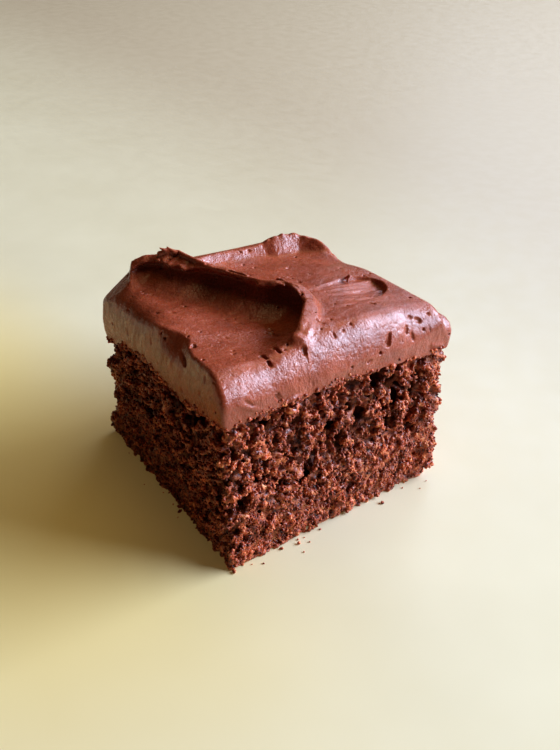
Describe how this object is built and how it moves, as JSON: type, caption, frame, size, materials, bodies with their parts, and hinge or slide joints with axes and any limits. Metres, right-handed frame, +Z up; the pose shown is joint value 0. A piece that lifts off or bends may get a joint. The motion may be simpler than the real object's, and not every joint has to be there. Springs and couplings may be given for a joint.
{
  "type": "frosted chocolate cake piece",
  "caption": "Square piece of chocolate sheet cake: a tall open-crumbed sponge under one thick layer of swirled chocolate frosting.",
  "frame": {"origin": "on the table under the middle of the piece", "axes": "+Z up, +X along the front cut face to the right, +Y along the left cut face to the side baked against the tin"},
  "size_m": [0.0739, 0.0722, 0.0581],
  "materials": {
    "sponge": "moist open chocolate crumb, matt, dark reddish brown",
    "frosting": "satin chocolate frosting, reddish milk-chocolate brown with soft pale highlights"
  },
  "bodies": {
    "root": {"sponge": "sponge", "frosting": "frosting"}
  },
  "joints": []
}
